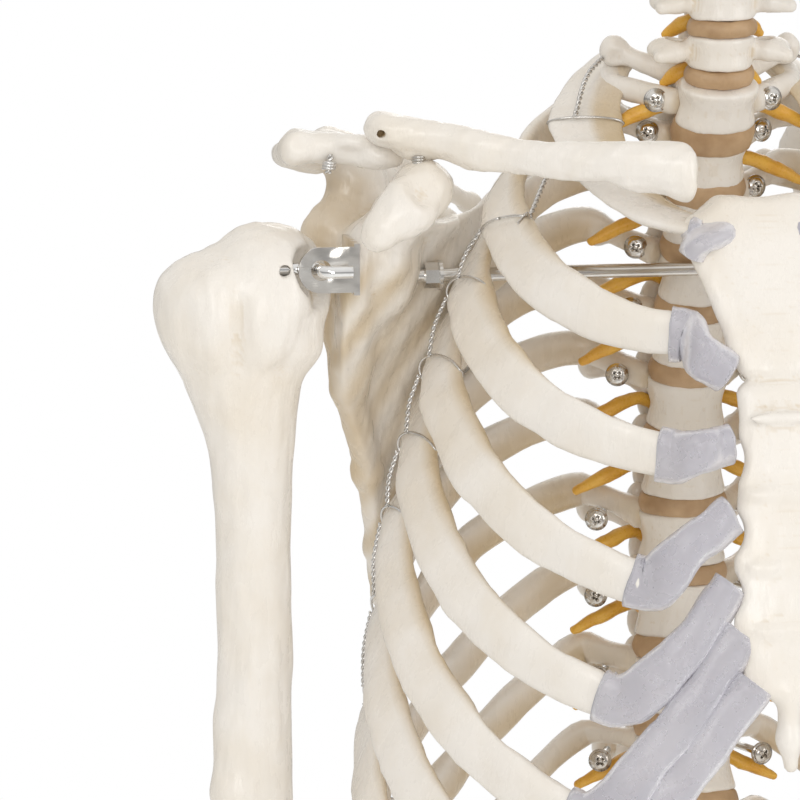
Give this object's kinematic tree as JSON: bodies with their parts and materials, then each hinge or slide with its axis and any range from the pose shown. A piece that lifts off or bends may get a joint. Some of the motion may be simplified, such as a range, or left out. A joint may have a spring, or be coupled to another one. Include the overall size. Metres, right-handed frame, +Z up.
{
  "type": "human skeleton model",
  "caption": "Life-size human skeleton teaching model in cast ivory plastic, wired and screwed together, with hinged limbs, sprung jaw and lift-off skull cap on a steel pole stand.",
  "frame": {"origin": "on the floor, at the middle of the four-legged base under the pelvis", "axes": "+Z up; the skeleton faces -Y; its right side is towards -X and its left side towards +X"},
  "size_m": [0.524, 0.3998, 1.765],
  "materials": {
    "bone": "glossy ivory cast plastic with tan shading in the recesses",
    "cartilage": "milky, slightly see-through soft plastic",
    "disc": "satin tan rubbery plastic",
    "nerve": "glossy yellow-orange soft plastic",
    "steel": "zinc-plated steel",
    "wire": "bright twisted steel wire",
    "bracket": "nickel-plated sheet steel",
    "hook_chrome": "polished chrome",
    "pole_chrome": "polished chrome tube",
    "stand_paint": "off-white powder coat",
    "rubber": "matt black rubber"
  },
  "bodies": {
    "torso": {"stand_base": "stand_paint", "base_feet": "rubber", "stand_pole": "pole_chrome", "pole_bracket": "stand_paint", "sacrum": "bone", "right_hip_bone": "bone", "left_hip_bone": "bone", "pubic_symphysis": "cartilage", "lumbar_vertebrae": "bone", "thoracic_vertebrae": "bone", "cervical_vertebrae": "bone", "intervertebral_discs": "disc", "spinal_nerves": "nerve", "sternum": "bone", "right_ribs": "bone", "left_ribs": "bone", "costal_cartilages": "cartilage", "rib_screws": "steel", "rib_wires": "wire", "right_scapula": "bone", "left_scapula": "bone", "right_clavicle": "bone", "left_clavicle": "bone", "scapula_rod": "steel", "shoulder_brackets": "bracket", "clavicle_wires": "wire", "neck_post": "steel", "hip_bolts": "steel"},
    "head": {"skull_base": "bone", "jaw_springs": "wire"},
    "cap": {"skull_cap": "bone"},
    "jaw": {"mandible": "bone"},
    "right_hook": {"right_shoulder_hook": "hook_chrome"},
    "right_upper_arm": {"right_humerus": "bone"},
    "right_forearm": {"right_ulna": "bone"},
    "right_forearm_turner": {"right_radius": "bone"},
    "right_hand_block": {"right_hand": "bone"},
    "right_finger_set": {"right_fingers": "bone"},
    "right_thumb_set": {"right_thumb": "bone"},
    "right_thigh": {"right_femur": "bone", "right_patella": "bone"},
    "right_shin": {"right_tibia": "bone", "right_fibula": "bone"},
    "right_foot_block": {"right_foot": "bone"},
    "right_toe_set": {"right_toes": "bone"},
    "left_hook": {"left_shoulder_hook": "hook_chrome"},
    "left_upper_arm": {"left_humerus": "bone"},
    "left_forearm": {"left_ulna": "bone"},
    "left_forearm_turner": {"left_radius": "bone"},
    "left_hand_block": {"left_hand": "bone"},
    "left_finger_set": {"left_fingers": "bone"},
    "left_thumb_set": {"left_thumb": "bone"},
    "left_thigh": {"left_femur": "bone", "left_patella": "bone"},
    "left_shin": {"left_tibia": "bone", "left_fibula": "bone"},
    "left_foot_block": {"left_foot": "bone"},
    "left_toe_set": {"left_toes": "bone"}
  },
  "joints": [
    {"name": "neck_turn", "type": "hinge", "parent": "torso", "child": "head", "pos_m": [0, 0.004, 1.63], "axis": [0, 0, 1], "range_deg": [-60, 60]},
    {"name": "jaw_open", "type": "hinge", "parent": "head", "child": "jaw", "pos_m": [0, -0.004, 1.638], "axis": [1, 0, 0], "range_deg": [0, 20], "stiffness_Nm_per_rad": 0.8, "springref_deg": -20.05, "deforming": ["jaw_springs"]},
    {"name": "skull_cap_lift", "type": "slide", "parent": "head", "child": "cap", "axis": [0, 0, 1], "range_m": [0, 0.08]},
    {"name": "right_shoulder_swing_out", "type": "hinge", "parent": "torso", "child": "right_hook", "pos_m": [-0.1455, -0.0185, 1.4435], "axis": [0, 1, 0], "range_deg": [0, 25]},
    {"name": "right_shoulder_swing_forward", "type": "hinge", "parent": "right_hook", "child": "right_upper_arm", "pos_m": [-0.16, -0.014, 1.4435], "axis": [-1, 0, 0], "range_deg": [-30, 70]},
    {"name": "right_elbow_bend", "type": "hinge", "parent": "right_upper_arm", "child": "right_forearm", "pos_m": [-0.16, 0, 1.127], "axis": [-1, 0, 0], "range_deg": [0, 120]},
    {"name": "right_forearm_turn", "type": "hinge", "parent": "right_forearm", "child": "right_forearm_turner", "pos_m": [-0.183, 0, 1.108], "axis": [0.0134, -0.0089, 0.9999], "range_deg": [0, 115]},
    {"name": "right_wrist_bend", "type": "hinge", "parent": "right_forearm_turner", "child": "right_hand_block", "pos_m": [-0.203, -0.001, 0.868], "axis": [-1, 0, 0], "range_deg": [-45, 55]},
    {"name": "right_fingers_curl", "type": "hinge", "parent": "right_hand_block", "child": "right_finger_set", "pos_m": [-0.203, -0.002, 0.795], "axis": [-1, 0, 0], "range_deg": [0, 75]},
    {"name": "right_thumb_swing", "type": "hinge", "parent": "right_hand_block", "child": "right_thumb_set", "pos_m": [-0.227, -0.006, 0.852], "axis": [-1, 0, 0], "range_deg": [0, 35]},
    {"name": "right_hip_bend", "type": "hinge", "parent": "torso", "child": "right_thigh", "pos_m": [-0.088, 0, 0.952], "axis": [-1, 0, 0], "range_deg": [-8, 80]},
    {"name": "right_knee_bend", "type": "hinge", "parent": "right_thigh", "child": "right_shin", "pos_m": [-0.08, 0.014, 0.538], "axis": [1, 0, 0], "range_deg": [0, 130]},
    {"name": "right_ankle_bend", "type": "hinge", "parent": "right_shin", "child": "right_foot_block", "pos_m": [-0.08, 0.01, 0.14], "axis": [-1, 0, 0], "range_deg": [-20, 15]},
    {"name": "right_toes_bend", "type": "hinge", "parent": "right_foot_block", "child": "right_toe_set", "pos_m": [-0.085, -0.09, 0.089], "axis": [-1, 0, 0], "range_deg": [0, 40]},
    {"name": "left_shoulder_swing_out", "type": "hinge", "parent": "torso", "child": "left_hook", "pos_m": [0.1455, -0.0185, 1.4435], "axis": [0, -1, 0], "range_deg": [0, 25]},
    {"name": "left_shoulder_swing_forward", "type": "hinge", "parent": "left_hook", "child": "left_upper_arm", "pos_m": [0.16, -0.014, 1.4435], "axis": [-1, 0, 0], "range_deg": [-30, 70]},
    {"name": "left_elbow_bend", "type": "hinge", "parent": "left_upper_arm", "child": "left_forearm", "pos_m": [0.16, 0, 1.127], "axis": [-1, 0, 0], "range_deg": [0, 120]},
    {"name": "left_forearm_turn", "type": "hinge", "parent": "left_forearm", "child": "left_forearm_turner", "pos_m": [0.183, 0, 1.108], "axis": [0.0134, 0.0089, -0.9999], "range_deg": [0, 115]},
    {"name": "left_wrist_bend", "type": "hinge", "parent": "left_forearm_turner", "child": "left_hand_block", "pos_m": [0.203, -0.001, 0.868], "axis": [-1, 0, 0], "range_deg": [-45, 55]},
    {"name": "left_fingers_curl", "type": "hinge", "parent": "left_hand_block", "child": "left_finger_set", "pos_m": [0.203, -0.002, 0.795], "axis": [-1, 0, 0], "range_deg": [0, 75]},
    {"name": "left_thumb_swing", "type": "hinge", "parent": "left_hand_block", "child": "left_thumb_set", "pos_m": [0.227, -0.006, 0.852], "axis": [-1, 0, 0], "range_deg": [0, 35]},
    {"name": "left_hip_bend", "type": "hinge", "parent": "torso", "child": "left_thigh", "pos_m": [0.088, 0, 0.952], "axis": [-1, 0, 0], "range_deg": [-8, 80]},
    {"name": "left_knee_bend", "type": "hinge", "parent": "left_thigh", "child": "left_shin", "pos_m": [0.08, 0.014, 0.538], "axis": [1, 0, 0], "range_deg": [0, 130]},
    {"name": "left_ankle_bend", "type": "hinge", "parent": "left_shin", "child": "left_foot_block", "pos_m": [0.08, 0.01, 0.14], "axis": [-1, 0, 0], "range_deg": [-20, 15]},
    {"name": "left_toes_bend", "type": "hinge", "parent": "left_foot_block", "child": "left_toe_set", "pos_m": [0.085, -0.09, 0.089], "axis": [-1, 0, 0], "range_deg": [0, 40]}
  ]
}
